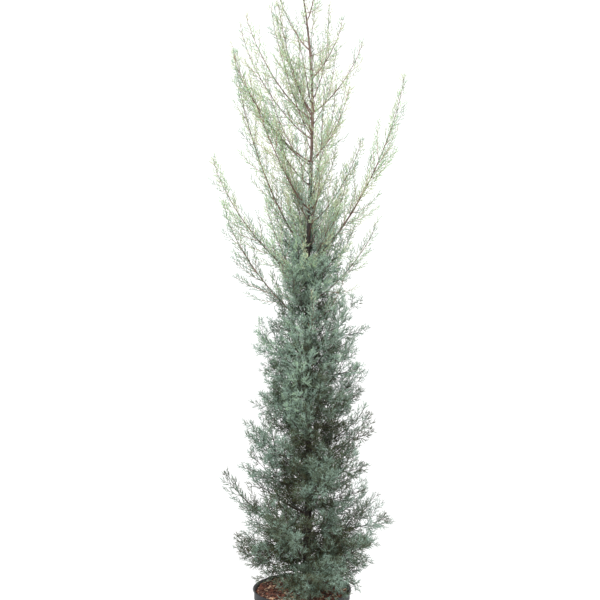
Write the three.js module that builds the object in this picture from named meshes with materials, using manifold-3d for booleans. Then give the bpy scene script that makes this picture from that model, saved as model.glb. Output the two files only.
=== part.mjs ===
// A young Arizona cypress in a round nursery pot: the pot, the potting soil, the trunk that runs
// from the soil to the leader, the main boughs, and the plumes of foliage that they carry.
// Millimetres, +Z up, origin at the middle of the pot's flat underside. +X is the photograph's right
// and -Y is its front. A limb's azimuth is counted from +X towards +Y.
import * as THREE from "three";
import { mergeVertices } from "three/addons/utils/BufferGeometryUtils.js";
import Module from "manifold-3d";

const wasm = await Module();
wasm.setup();

// Pot and soil
const POT_HEIGHT = 270;
const POT_RIM_RADIUS = 150;
const POT_BASE_RADIUS = 116;
const POT_WALL = 2.6;
const POT_FLOOR = 4;
const POT_COLLAR_HEIGHT = 30; // the stiffening band under the lip
const POT_COLLAR_STEP = 1.8; // how far the band stands out of the wall
const POT_COLLAR_DRAFT = 1; // how far the band leans in at its foot
const POT_LIP = 4; // height and overhang of the rolled lip
const POT_FOOT_BEVEL = 5;
const POT_SEGMENTS = 28;
const SOIL_BELOW_RIM = 22;
const SOIL_DIP = 6; // the soil sinks by this much at the pot's wall
const SOIL_FLAT_RADIUS = 55;
const GAP = 0.3; // clearance between pieces that touch

// Trunk
const SOIL_TOP = POT_HEIGHT - SOIL_BELOW_RIM;
const TRUNK_LENGTH = 2010;
const TRUNK_BASE_RADIUS = 12.5;
const TRUNK_TIP_RADIUS = 1.4;
const TRUNK_TAPER = 1.05;
const TRUNK_FLARE = 0.55; // widening at the soil, as a share of the radius
const TRUNK_FLARE_HEIGHT = 26;
const TRUNK_ROOT_LOBES = 5;
const TRUNK_LOBE_DEPTH = 0.14;
const TRUNK_ROOT_X = 11; // the stem stands a little off the pot's middle
const TRUNK_LEAN = 24;
const TRUNK_SWAY = 5;
const TRUNK_SWAY_TURNS = 1.6;
const TRUNK_DEPTH_SWAY = 0.7; // the sway from front to back is this much slower
const TRUNK_NOD = 62; // how far the leader nods over to the left
const TRUNK_NOD_START = 0.7;
const TRUNK_SIDES = 10;
const TRUNK_STEPS = 26;
const TRUNK_STEP_EASE = 1.5; // the steps are closer at the flare

// The long boughs that draw the outline: height on the trunk, azimuth, and reach and rise of the tip
const LEADING_BOUGHS = [
  { height: 425, azimuth: 176, reach: 252, rise: 185 },
  { height: 430, azimuth: 352, reach: 232, rise: 60 },
  { height: 1080, azimuth: 168, reach: 262, rise: 366 },
  { height: 1140, azimuth: 8, reach: 212, rise: 246 },
  { height: 1205, azimuth: 189, reach: 288, rise: 366 },
  { height: 1258, azimuth: 352, reach: 292, rise: 556 },
  { height: 1290, azimuth: 174, reach: 230, rise: 620 },
  { height: 1380, azimuth: 22, reach: 172, rise: 265 },
  { height: 1425, azimuth: 205, reach: 190, rise: 390 },
  { height: 1570, azimuth: 178, reach: 236, rise: 326 },
  { height: 1700, azimuth: 192, reach: 205, rise: 305 },
  { height: 1722, azimuth: 355, reach: 152, rise: 212 },
];

// The other limbs, dealt out in a spiral from the soil to the leader
const FILL_COUNT = 31;
const FILL_LOWEST = 290;
const FILL_HIGHEST = 2090;
const FILL_CROWDING = 1.5; // they stand closer near the soil
const FILL_FIRST_AZIMUTH = 273;
const FILL_SIZES = [0.9, 1.1];
const GOLDEN_ANGLE = 137.508;
const REACH_LOW = 206; // at the soil
const REACH_WAIST = 148; // from the column's waist upwards
const WAIST_SHARE = 0.42; // of the trunk's length
const REACH_FALL = 5; // the reach then falls off towards the leader
const REACH_ROUND = 0.8;
const CLIMB_LOWEST = 8; // degrees above the horizontal, at the soil
const CLIMB_GAIN = 60;
const CLIMB_ROUND = 0.45;
const LEADER = { azimuth: 196, reach: 34, rise: 118 };

// Shape of a limb
const LIMB_OUT = 1.35; // a limb first runs outwards
const LIMB_UP = 1.25; // and then turns up
const LIMB_SWAY = 0.035; // sideways wander, as a share of the limb's length
const LIMB_SWAY_TURN = 5; // radians over the limb's length
const LIMB_ROOT_RADIUS = 1.1; // plus a share of the limb's length
const LIMB_ROOT_SLOPE = 0.005;
const LIMB_TIP_RADIUS = 0.9;
const LIMB_TO_TRUNK = 0.8; // a limb's root is at most this share of the trunk's radius there
const BOUGH_SHARE = 0.27; // of the limb, before it enters its foliage
const BOUGH_SIDES = 5;
const BOUGH_STEPS = 3;
const SPACE_SAMPLES = 12; // points that stand for a limb when spaces are shared out
const SPACE_MARGIN = 3; // between the space of one limb and the next
const LIMB_CLEARANCE = 5; // between the foliage and the trunk

// A dense plume: its core, and the sprays that stand out of it
const DENSE_TOP = 1380; // limbs whose tips stay below this height carry dense plumes
const CORE_RADIUS = 84; // to the tips of the teeth
const CORE_END_RADIUS = 2;
const CORE_STRETCH = [0.12, 0.95]; // of the limb
const CORE_SKEW = 0.9; // below one, the core is thickest nearer to the trunk
const CORE_ROUND = 0.7;
const CORE_SIZES = [0.8, 1.15];
const CORE_VANES = 4;
const CORE_TEETH = 4; // along each vane
const CORE_GROOVE = 0.3; // radius between the vanes, as a share
const CORE_NOTCH = 0.35; // height of a vane between its teeth, as a share
const CORE_SHRINKS = [1, 0.85, 0.7, 0.55, 0.4, 0.25, 0.12, 0.05];
const CORE_MARGIN = 6;
const DENSE_SPRAYS = 4;
const DENSE_ANGLE = 66; // between a spray and the stem, at the stem's foot
const DENSE_ANGLE_FALL = 36; // less than that at the stem's tip
const DENSE_ROOT = 0.3; // of the core's radius, where a spray is rooted

// Stem, twigs and sprays of a mass of foliage
const FULL_LIMB = 300; // limbs shorter than this carry smaller twigs and sprays
const LEAST_SIZE = 0.62;
const STEM_SIDES = 4;
const STEM_STEP = 100;
const STEM_LEAST = 0.5; // of the limb, however long the spray at its tip is
const TWIG_SPACING = 72;
const TWIG_MOST = 6;
const TWIG_FEWEST = 3;
const TWIG_FIRST = 0.4; // of a spacing, before the first twig
const TWIG_ANGLE = 42;
const TWIG_LONGEST = 84;
const TWIG_SHORTEST = 32;
const TWIG_SIZES = [0.85, 1.1];
const TWIG_RADIUS = 1.9;
const TWIG_TIP_RADIUS = 1.1;
const TWIG_SIDES = 3;
const TWIG_BEND = 0.3; // a twig turns towards its stem's heading by this share of its length
const SPRAY_LENGTH = 112;
const SPRAY_AT_TIP = 0.6; // size of the sprays near a limb's tip, as a share
const SPRAY_WIDTH = 0.4; // of its length
const SPRAY_THICKNESS = 4;
const SPRAY_MIDDLE = 0.4; // the thickest place, as a share of its length
const SPRAY_SET_BACK = 22; // length of the twig or stem that runs on inside its spray
const SHRINKS = [1, 0.74, 0.52]; // sizes that are tried before a twig or spray is skipped

// Half of a spray's toothed outline, from root to tip: along and across, as shares of length and width
const SPRAY_HALF_OUTLINE = [
  [0.5, 0.5],
  [0.47, 0.18],
  [0.78, 0.36],
  [0.7, 0.12],
];

const MATERIALS = {
  pot: new THREE.MeshStandardMaterial({ color: 0x2f3033, roughness: 0.55 }),
  soil: new THREE.MeshStandardMaterial({ color: 0x4a2f22, roughness: 0.95 }),
  bark: new THREE.MeshStandardMaterial({ color: 0x5a3a2e, roughness: 0.85 }),
  foliage: new THREE.MeshStandardMaterial({ color: 0x7c9488, roughness: 0.7 }),
};

// Numbers of the draws that a limb's seed is used for
const DRAWS = { sway: 1, roll: 2, reach: 7, firstTwig: 10 };
const FILL_SEED = 0.5;

const radians = THREE.MathUtils.degToRad;

// A repeatable number from 0 to 1 for a limb's seed and a draw's number.
function draw(seed, number) {
  const value = Math.sin(seed * 127.1 + number * 311.7) * 43758.5453;
  return value - Math.floor(value);
}

const drawBetween = (seed, number, low, high) => low + (high - low) * draw(seed, number);

// The trunk's share of its length at a height.
const trunkShare = (height) => (height - SOIL_TOP) / TRUNK_LENGTH;

class TrunkCurve extends THREE.Curve {
  getPoint(share, target = new THREE.Vector3()) {
    const turn = 2 * Math.PI * TRUNK_SWAY_TURNS * share;
    const nod = Math.max(0, (share - TRUNK_NOD_START) / (1 - TRUNK_NOD_START));
    return target.set(
      TRUNK_ROOT_X + TRUNK_LEAN * share + TRUNK_SWAY * Math.sin(turn) - TRUNK_NOD * nod * nod,
      TRUNK_SWAY * Math.sin(TRUNK_DEPTH_SWAY * turn),
      SOIL_TOP + GAP + TRUNK_LENGTH * share,
    );
  }

  // The trunk's sections are level, so its foot is a flat cut at the soil.
  getTangent() {
    return new THREE.Vector3(0, 0, 1);
  }
}

function trunkRadius(share) {
  const taper = Math.pow(Math.max(0, 1 - share), TRUNK_TAPER);
  const flare = TRUNK_FLARE * Math.exp((-share * TRUNK_LENGTH) / TRUNK_FLARE_HEIGHT);
  const slim = TRUNK_TIP_RADIUS + (TRUNK_BASE_RADIUS - TRUNK_TIP_RADIUS) * taper;
  return slim * (1 + flare);
}

class LimbCurve extends THREE.Curve {
  constructor(root, limb) {
    super();
    const turn = radians(limb.azimuth);
    this.root = root;
    this.limb = limb;
    this.out = new THREE.Vector3(Math.cos(turn), Math.sin(turn), 0);
    this.side = new THREE.Vector3(-Math.sin(turn), Math.cos(turn), 0);
    this.sway = LIMB_SWAY * Math.hypot(limb.reach, limb.rise);
    this.phase = 2 * Math.PI * draw(limb.seed, DRAWS.sway);
  }

  getPoint(share, target = new THREE.Vector3()) {
    const { reach, rise } = this.limb;
    return target
      .copy(this.root)
      .addScaledVector(this.out, reach * (1 - Math.pow(1 - share, LIMB_OUT)))
      .addScaledVector(this.side, this.sway * share * Math.sin(LIMB_SWAY_TURN * share + this.phase))
      .setZ(this.root.z + rise * Math.pow(share, LIMB_UP));
  }
}

// A closed tapering rod along a stretch of a curve. The radius is a function of the curve's share, of
// the angle round the rod and of the place that a size gives there. Side is a direction that the curve
// never runs along, and an ease above one draws the steps together at the start.
function rod(curve, side, [from, to], radius, sides, steps, ease = 1) {
  const geometry = new THREE.CylinderGeometry(1, 1, 1, sides, steps);
  geometry.deleteAttribute("normal");
  geometry.deleteAttribute("uv");
  const places = geometry.getAttribute("position");
  const spot = new THREE.Vector3();
  for (let i = 0; i < places.count; i++) {
    spot.fromBufferAttribute(places, i);
    const share = from + (to - from) * Math.pow(0.5 - spot.y, ease);
    const heading = curve.getTangent(share);
    const across = side.clone().addScaledVector(heading, -side.dot(heading)).normalize();
    const beside = new THREE.Vector3().crossVectors(heading, across);
    const place = (size) =>
      curve.getPoint(share).addScaledVector(across, spot.x * size).addScaledVector(beside, spot.z * size);
    const { x, y, z } = place(radius(share, Math.atan2(spot.z, spot.x), place));
    places.setXYZ(i, x, y, z);
  }
  return solidOf(geometry);
}

// A closed geometry as a solid that can be joined and cut.
function solidOf(geometry) {
  const closed = mergeVertices(geometry, 1e-4);
  const solid = new wasm.Manifold(
    new wasm.Mesh({
      numProp: 3,
      vertProperties: new Float32Array(closed.getAttribute("position").array),
      triVerts: new Uint32Array(closed.index.array),
    }),
  );
  if (solid.volume() < 0) throw new Error("a piece is inside out");
  return solid;
}

// The largest body of a solid: loose scraps are dropped and sealed hollows filled.
function mainBody(solid) {
  return solid.decompose().reduce((best, body) => (body.volume() > best.volume() ? body : best));
}

function meshOf(solid, name, material) {
  const { vertProperties, triVerts } = solid.getMesh();
  const geometry = new THREE.BufferGeometry();
  geometry.setAttribute("position", new THREE.BufferAttribute(vertProperties, 3));
  geometry.setIndex(new THREE.BufferAttribute(triVerts, 1));
  geometry.computeVertexNormals();
  const mesh = new THREE.Mesh(geometry, material);
  mesh.name = name;
  return mesh;
}

function lathe(profile) {
  const outline = profile.map(([radius, height]) => new THREE.Vector2(radius, height));
  const geometry = new THREE.LatheGeometry(outline, POT_SEGMENTS).rotateX(Math.PI / 2);
  geometry.deleteAttribute("normal");
  geometry.deleteAttribute("uv");
  return solidOf(geometry);
}

// The pot's outer radius at a height, without its collar.
function potWallRadius(height) {
  const wallTop = POT_RIM_RADIUS - POT_LIP - POT_COLLAR_STEP;
  return THREE.MathUtils.mapLinear(height, 0, POT_HEIGHT, POT_BASE_RADIUS, wallTop);
}

function pot() {
  const collarFoot = POT_HEIGHT - POT_COLLAR_HEIGHT;
  const collarRadius = POT_RIM_RADIUS - POT_LIP;
  const lipFoot = POT_HEIGHT - POT_LIP;
  const inside = (height) => potWallRadius(height) - POT_WALL;
  return lathe([
    [0, 0],
    [POT_BASE_RADIUS - POT_FOOT_BEVEL, 0],
    [potWallRadius(POT_FOOT_BEVEL), POT_FOOT_BEVEL],
    [potWallRadius(collarFoot - POT_COLLAR_STEP), collarFoot - POT_COLLAR_STEP],
    [collarRadius - POT_COLLAR_DRAFT, collarFoot],
    [collarRadius, lipFoot - POT_LIP / 2],
    [POT_RIM_RADIUS, lipFoot],
    [POT_RIM_RADIUS, POT_HEIGHT - POT_LIP / 3],
    [POT_RIM_RADIUS - POT_LIP / 3, POT_HEIGHT],
    [collarRadius - POT_WALL / 2, POT_HEIGHT],
    [inside(lipFoot), lipFoot],
    [inside(POT_FLOOR), POT_FLOOR],
    [0, POT_FLOOR],
  ]);
}

function soil() {
  const edge = (height) => potWallRadius(height) - POT_WALL - GAP;
  const floor = POT_FLOOR + GAP;
  return lathe([
    [0, floor],
    [edge(floor), floor],
    [edge(SOIL_TOP - SOIL_DIP), SOIL_TOP - SOIL_DIP],
    [(edge(SOIL_TOP) + SOIL_FLAT_RADIUS) / 2, SOIL_TOP - SOIL_DIP / 3],
    [SOIL_FLAT_RADIUS, SOIL_TOP],
    [0, SOIL_TOP],
  ]);
}

const trunkCurve = new TrunkCurve();

// The trunk, or with an allowance the space that the limbs' roots keep clear of.
function trunk(allowance = 0) {
  const lobed = (share, angle) => {
    const fade = Math.exp((-share * TRUNK_LENGTH) / TRUNK_FLARE_HEIGHT);
    const lobe = 1 + TRUNK_LOBE_DEPTH * fade * Math.cos(TRUNK_ROOT_LOBES * angle);
    return trunkRadius(share) * lobe + allowance;
  };
  const stretch = [0, 1 + allowance / TRUNK_LENGTH];
  const back = new THREE.Vector3(0, 1, 0);
  return rod(trunkCurve, back, stretch, lobed, TRUNK_SIDES, TRUNK_STEPS, TRUNK_STEP_EASE);
}

// A limb with its curve, its name, the share where its stem ends and the points that stand for it.
function limbFrom({ height, azimuth, reach, rise, share }, number) {
  const limb = { azimuth, reach, rise, share, seed: number + 1 };
  limb.name = String(number + 1).padStart(2, "0");
  limb.dense = height + rise < DENSE_TOP;
  limb.trunkRadius = trunkRadius(trunkShare(height));
  limb.curve = new LimbCurve(trunkCurve.getPoint(trunkShare(height)), limb);
  limb.side = limb.curve.side;
  limb.length = limb.curve.getLength();
  limb.size = THREE.MathUtils.clamp(limb.length / FULL_LIMB, LEAST_SIZE, 1);
  limb.start = share > 0 ? share + GAP / limb.length : 0;
  limb.end = Math.max(1 - (limb.size * SPRAY_LENGTH) / limb.length, STEM_LEAST);
  limb.points = limb.curve.getPoints(SPACE_SAMPLES);
  return limb;
}

// The spiral's limb at a step, with the reach and the climb that belong to its height.
function fillLimb(step) {
  const share = Math.pow(step / (FILL_COUNT - 1), FILL_CROWDING);
  const height = THREE.MathUtils.lerp(FILL_LOWEST, FILL_HIGHEST, share);
  const up = trunkShare(height);
  const waist = THREE.MathUtils.smoothstep(up, 0, WAIST_SHARE);
  const fall = Math.pow(1 - Math.pow(up, REACH_FALL), REACH_ROUND);
  const size = drawBetween(step + FILL_SEED, DRAWS.reach, ...FILL_SIZES);
  const reach = THREE.MathUtils.lerp(REACH_LOW, REACH_WAIST, waist) * fall * size;
  const climb = CLIMB_LOWEST + CLIMB_GAIN * Math.pow(up, CLIMB_ROUND);
  return {
    height,
    reach,
    azimuth: (FILL_FIRST_AZIMUTH + GOLDEN_ANGLE * step) % 360,
    rise: reach * Math.tan(radians(climb)),
    share: 0,
  };
}

// The long boughs, the spiral, and the leader's own plume that goes on from the tip of the trunk.
function allLimbs() {
  const leading = LEADING_BOUGHS.map((bough) => ({ ...bough, share: BOUGH_SHARE }));
  const fill = Array.from({ length: FILL_COUNT }, (_, step) => fillLimb(step));
  const leader = { ...LEADER, height: SOIL_TOP + TRUNK_LENGTH, share: 0 };
  return [...leading, ...fill, leader].map(limbFrom);
}

function limbRadius(limb) {
  const wanted = LIMB_ROOT_RADIUS + LIMB_ROOT_SLOPE * limb.length;
  const root = Math.min(wanted, LIMB_TO_TRUNK * limb.trunkRadius);
  return (share) => THREE.MathUtils.lerp(root, LIMB_TIP_RADIUS, share);
}

function bough(limb, clearOfTrunk) {
  const stretch = [0, limb.share];
  const whole = rod(limb.curve, limb.side, stretch, limbRadius(limb), BOUGH_SIDES, BOUGH_STEPS);
  return mainBody(whole.subtract(clearOfTrunk));
}

// Distance from a point to the broken line through a limb's points.
function distanceTo(limb, point) {
  const line = new THREE.Line3();
  const nearest = new THREE.Vector3();
  let least = Infinity;
  for (let i = 1; i < limb.points.length; i++) {
    line.set(limb.points[i - 1], limb.points[i]).closestPointToPoint(point, true, nearest);
    least = Math.min(least, nearest.distanceTo(point));
  }
  return least;
}

// True where a point is in a limb's own space: nearer to it than to any other limb, clear of the
// trunk, and above the pot.
function inOwnSpace(limb, limbs, point, margin = SPACE_MARGIN) {
  const share = THREE.MathUtils.clamp(trunkShare(point.z), 0, 1);
  const fromTrunk = trunkCurve.getPoint(share).distanceTo(point) - trunkRadius(share);
  if (fromTrunk < LIMB_CLEARANCE || point.z < POT_HEIGHT + SPACE_MARGIN) return false;
  const own = distanceTo(limb, point) + margin;
  return limbs.every((other) => other === limb || distanceTo(other, point) > own);
}

// A spray of foliage: a blade with a few teeth, thickest at its middle.
function spray(root, heading, face, length) {
  const across = new THREE.Vector3().crossVectors(face, heading).normalize();
  const thick = new THREE.Vector3().crossVectors(heading, across);
  const place = (along, beside, up) =>
    root
      .clone()
      .addScaledVector(heading, along * length)
      .addScaledVector(across, beside * length * SPRAY_WIDTH)
      .addScaledVector(thick, up * SPRAY_THICKNESS);
  const right = SPRAY_HALF_OUTLINE.map(([along, beside]) => place(along, beside, 0));
  const left = SPRAY_HALF_OUTLINE.map(([along, beside]) => place(along, -beside, 0));
  const rim = [root, ...right, place(1, 0, 0), ...left.reverse()];
  const top = place(SPRAY_MIDDLE, 0, 0.5);
  const bottom = place(SPRAY_MIDDLE, 0, -0.5);
  const faces = rim.flatMap((corner, i) => {
    const next = rim[(i + 1) % rim.length];
    return [next, corner, top, corner, next, bottom];
  });
  return { rim, solid: () => solidOf(new THREE.BufferGeometry().setFromPoints(faces)) };
}

// The length of the sprays at a share of the way up a plume.
const sprayLength = (limb, up) => SPRAY_LENGTH * limb.size * THREE.MathUtils.lerp(1, SPRAY_AT_TIP, up);

// The first size at which a piece stays in its limb's own space, or nothing.
function fitted(make, limb, limbs) {
  for (const shrink of SHRINKS) {
    const piece = make(shrink);
    if (piece.rim.every((corner) => inOwnSpace(limb, limbs, corner))) return piece;
  }
  return null;
}

// The direction that leaves a heading at an angle, rolled round it.
function branching(heading, side, angle, roll) {
  const across = side.clone().addScaledVector(heading, -side.dot(heading)).normalize();
  const beside = new THREE.Vector3().crossVectors(heading, across);
  return heading
    .clone()
    .multiplyScalar(Math.cos(angle))
    .addScaledVector(across, Math.sin(angle) * Math.cos(roll))
    .addScaledVector(beside, Math.sin(angle) * Math.sin(roll));
}

// A twig that leaves its stem and turns towards the stem's heading.
function twig(root, stemHeading, heading, length) {
  const middle = root.clone().addScaledVector(heading, length / 2);
  const tip = root
    .clone()
    .addScaledVector(heading, length * (1 - TWIG_BEND))
    .addScaledVector(stemHeading, length * TWIG_BEND);
  const curve = new THREE.QuadraticBezierCurve3(root, middle, tip);
  const side = new THREE.Vector3().crossVectors(stemHeading, heading).normalize();
  const radius = (share) => THREE.MathUtils.lerp(TWIG_RADIUS, TWIG_TIP_RADIUS, share);
  return {
    curve,
    side,
    sprayRoot: curve.getPoint(1 - SPRAY_SET_BACK / length),
    heading: curve.getTangent(1),
    rim: [0.5, 1].map((share) => curve.getPoint(share)),
    solid: () => rod(curve, side, [0, 1], radius, TWIG_SIDES, 1),
  };
}

// The radius that a dense plume's core has at a share of its limb, to the tips of its teeth.
function coreRadius(share) {
  const along = THREE.MathUtils.inverseLerp(...CORE_STRETCH, share);
  const swell = Math.sin(Math.PI * Math.pow(THREE.MathUtils.clamp(along, 0, 1), CORE_SKEW));
  return CORE_END_RADIUS + CORE_RADIUS * Math.pow(Math.max(0, swell), CORE_ROUND);
}

// The core of a dense plume: a spindle round the stem with toothed vanes, the teeth of one standing
// beside the notches of the next. It keeps to the limb's own space.
function core(limb, limbs) {
  const stretch = [Math.max(CORE_STRETCH[0], limb.start), CORE_STRETCH[1]];
  const radius = (share, angle, place) => {
    const along = THREE.MathUtils.inverseLerp(...stretch, share);
    const vane = (1 + Math.cos(CORE_VANES * angle)) / 2;
    const stagger = Math.PI * Math.round((CORE_VANES * angle) / (2 * Math.PI));
    const tooth = (1 - Math.cos(2 * Math.PI * CORE_TEETH * along + stagger)) / 2;
    const edge = THREE.MathUtils.lerp(CORE_NOTCH, 1, tooth) - CORE_GROOVE;
    const size = drawBetween(limb.seed + along, Math.round(angle), ...CORE_SIZES);
    const wanted = coreRadius(share) * (CORE_GROOVE + vane * edge) * size;
    const fits = (shrink) => inOwnSpace(limb, limbs, place(wanted * shrink), CORE_MARGIN);
    return wanted * (CORE_SHRINKS.find(fits) ?? CORE_SHRINKS.at(-1));
  };
  const turned = limb.side.clone().applyAxisAngle(limb.curve.getTangent(0.5), limb.curve.phase);
  return rod(limb.curve, turned, stretch, radius, 2 * CORE_VANES, 2 * CORE_TEETH);
}

// The sprays of a dense plume, in a spiral round its stem. The core hides the twigs that carry them.
function denseSprays(limb, limbs) {
  const [from, to] = CORE_STRETCH;
  return Array.from({ length: DENSE_SPRAYS }, (_, k) => {
    const up = (k + TWIG_FIRST) / DENSE_SPRAYS;
    const share = THREE.MathUtils.lerp(from, to, up);
    const stemHeading = limb.curve.getTangent(share);
    const angle = radians(DENSE_ANGLE - DENSE_ANGLE_FALL * up);
    const roll = radians(GOLDEN_ANGLE * k + 360 * draw(limb.seed, DRAWS.roll));
    const heading = branching(stemHeading, limb.side, angle, roll);
    const face = new THREE.Vector3().crossVectors(stemHeading, heading).normalize();
    const stem = limb.curve.getPoint(share);
    return fitted((shrink) => {
      const root = stem.clone().addScaledVector(heading, coreRadius(share) * DENSE_ROOT * shrink);
      return spray(root, heading, face, sprayLength(limb, up) * shrink);
    }, limb, limbs);
  });
}

// The twigs of an open plume, in a spiral round its stem, each with a spray from its tip.
function openTwigs(limb, limbs) {
  const stretch = limb.end - limb.start;
  const wanted = Math.round((limb.length * stretch) / TWIG_SPACING);
  const count = THREE.MathUtils.clamp(wanted, TWIG_FEWEST, TWIG_MOST);
  return Array.from({ length: count }, (_, k) => {
    const up = (k + TWIG_FIRST) / count;
    const share = limb.start + stretch * up;
    const root = limb.curve.getPoint(share);
    const stemHeading = limb.curve.getTangent(share);
    const roll = radians(GOLDEN_ANGLE * k + 360 * draw(limb.seed, DRAWS.roll));
    const heading = branching(stemHeading, limb.side, radians(TWIG_ANGLE), roll);
    const size = limb.size * drawBetween(limb.seed, DRAWS.firstTwig + k, ...TWIG_SIZES);
    const length = THREE.MathUtils.lerp(TWIG_LONGEST, TWIG_SHORTEST, up) * size;
    const grown = fitted((shrink) => twig(root, stemHeading, heading, length * shrink), limb, limbs);
    if (!grown) return [];
    const { sprayRoot, side } = grown;
    const blade = (shrink) => spray(sprayRoot, grown.heading, side, sprayLength(limb, up) * shrink);
    return [grown, fitted(blade, limb, limbs)];
  }).flat();
}

// A mass of foliage: a stem that goes on from its bough or springs from the trunk, a spray at the
// stem's tip, and what the plume carries round its stem, all joined into one solid.
function foliage(limb, limbs, clearOfTrunk) {
  const steps = Math.max(2, Math.round((limb.length * (limb.end - limb.start)) / STEM_STEP));
  const stem = rod(limb.curve, limb.side, [limb.start, limb.end], limbRadius(limb), STEM_SIDES, steps);
  const tip = limb.curve.getPoint(limb.end - SPRAY_SET_BACK / limb.length);
  const ahead = limb.curve.getPoint(1).sub(tip);
  const heading = ahead.clone().normalize();
  const last = fitted((shrink) => spray(tip, heading, limb.side, ahead.length() * shrink), limb, limbs);
  const carried = limb.dense ? denseSprays(limb, limbs) : openTwigs(limb, limbs);
  const pieces = [last, ...carried].filter((piece) => piece !== null).map((piece) => piece.solid());
  const body = limb.dense ? stem.add(core(limb, limbs)) : stem;
  return mainBody(pieces.reduce((whole, piece) => whole.add(piece), body).subtract(clearOfTrunk));
}

function cypress() {
  const plant = new THREE.Group();
  plant.add(meshOf(pot(), "pot", MATERIALS.pot));
  plant.add(meshOf(soil(), "soil", MATERIALS.soil));
  plant.add(meshOf(trunk(), "trunk", MATERIALS.bark));
  const clearOfTrunk = trunk(GAP);
  const limbs = allLimbs();
  for (const limb of limbs) {
    const mass = foliage(limb, limbs, clearOfTrunk);
    plant.add(meshOf(mass, `foliage_${limb.name}`, MATERIALS.foliage));
    if (limb.share === 0) continue;
    plant.add(meshOf(bough(limb, clearOfTrunk), `bough_${limb.name}`, MATERIALS.bark));
  }
  return plant;
}

export default cypress();
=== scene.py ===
# %% [markdown]
# # A young Arizona cypress in its nursery pot
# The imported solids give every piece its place. This script loads them as a fixed frame and grows
# the fine parts on the same rule that made the solids: bark with relief, twigs, sprays of scale
# leaves, and a pot of bark mulch. All sizes are metres, +Z is up, and the origin is the middle of
# the pot's flat underside.

import bpy
import numpy as np
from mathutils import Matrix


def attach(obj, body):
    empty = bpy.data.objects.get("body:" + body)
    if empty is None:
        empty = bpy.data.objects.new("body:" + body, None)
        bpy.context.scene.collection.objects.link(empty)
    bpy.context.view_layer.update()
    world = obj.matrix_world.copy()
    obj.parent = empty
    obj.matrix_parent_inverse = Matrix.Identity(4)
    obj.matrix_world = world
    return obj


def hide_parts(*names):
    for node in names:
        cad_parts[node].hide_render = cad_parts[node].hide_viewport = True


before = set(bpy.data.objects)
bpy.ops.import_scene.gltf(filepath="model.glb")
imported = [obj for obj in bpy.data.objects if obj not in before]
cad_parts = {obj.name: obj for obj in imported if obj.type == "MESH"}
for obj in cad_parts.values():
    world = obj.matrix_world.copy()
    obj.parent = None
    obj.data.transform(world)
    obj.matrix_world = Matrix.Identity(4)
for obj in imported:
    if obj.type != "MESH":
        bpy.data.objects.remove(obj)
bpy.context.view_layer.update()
MM = 0.001

# %% [markdown]
# ## The camera
# The photograph was taken level, from about the middle of the tree's height. A lens of 55 mm on a
# sensor 36 mm wide gives its perspective, and the camera stands a little under three metres away.

# %% Camera
SENSOR_WIDTH = 36.0  # mm, as Blender counts it
LENS = 54.96  # mm
CAMERA_PLACE = (-6 * MM, -2800 * MM, 1149 * MM)

camera = bpy.data.objects.new("camera", bpy.data.cameras.new("camera"))
camera.data.sensor_width = SENSOR_WIDTH
camera.data.lens = LENS
camera.location = CAMERA_PLACE
camera.rotation_euler = (np.pi / 2, 0, 0)
bpy.context.scene.collection.objects.link(camera)
bpy.context.scene.camera = camera
print("camera", CAMERA_PLACE)

# %% [markdown]
# ## Numbers and directions
# A plant looks natural when nothing repeats, and a script has to give the same plant each time.
# One formula deals out numbers that look random but depend only on a seed and on a draw's number.
# The number tells one use of the formula from another, and the seed one branch from the next. It is
# the formula of the solids, so the limbs here are the limbs of the frame.

# %% Draws
SEED_STEP, NUMBER_STEP, SINE_SIZE = 127.1, 311.7, 43758.5453


def draw(seed, number):
    """A repeatable number from 0 to 1: what is left of a large sine after its whole part."""
    value = np.sin(seed * SEED_STEP + number * NUMBER_STEP) * SINE_SIZE
    return value - np.floor(value)


def blend(low, high, share):
    """Straight blend from low to high."""
    return low + (high - low) * share


def deal(count, number, low, high):
    """One number between low and high for each of a count of things."""
    return blend(low, high, draw(np.arange(count), number))


def ease(share):
    """Smooth step: 3 s^2 - 2 s^3, with the share held between 0 and 1."""
    share = np.clip(share, 0, 1)
    return share * share * (3 - 2 * share)


def ease_between(value, low, high):
    """Smooth step of a value, which starts at low and is done at high."""
    return ease((value - low) / (high - low))


def lattice_noise(u, v, wrap):
    """Smooth noise from 0 to 1: drawn heights at whole u and v, eased between.

    The pattern repeats in u after wrap, so that it closes round a stem.
    """
    u_cell, v_cell = np.floor(u), np.floor(v)
    u_ease, v_ease = ease(u - u_cell), ease(v - v_cell)
    near, far = u_cell % wrap, (u_cell + 1) % wrap
    low = blend(draw(near, v_cell), draw(far, v_cell), u_ease)
    high = blend(draw(near, v_cell + 1), draw(far, v_cell + 1), u_ease)
    return blend(low, high, v_ease)


print("first draws", np.round(draw(np.arange(1, 4), 1), 4))

# %% Directions
UP = np.array((0.0, 0.0, 1.0))
GOLDEN_DEGREES = 137.508
GOLDEN_ANGLE = np.radians(GOLDEN_DEGREES)


def unit(vectors):
    """Each vector divided by its length."""
    return vectors / np.linalg.norm(vectors, axis=-1, keepdims=True)


def square_to(heading, side):
    """The side vectors with their part along the heading taken away, at length one."""
    along = np.sum(side * heading, axis=-1, keepdims=True)
    return unit(side - along * heading)


def far_axis(heading):
    """The axis that each heading is furthest from, as a safe side to start from."""
    return np.eye(3)[np.argmin(np.abs(heading), axis=-1)]


print("golden angle", round(GOLDEN_ANGLE, 4), "radians")

# %% [markdown]
# ## Closed skins from arrays
# Trunk, twigs and leaves are all long closed bodies, and so are the pot and the soil when their
# outline is spun round. Each is a stack of rings between two poles, so one table of faces serves
# them all. A ring's points are counted against the clock seen from the far pole, which makes
# every face point outwards. The smallest leaves need only a spike of four faces.

# %% Skins
SPIKE_SIDES = 3


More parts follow.
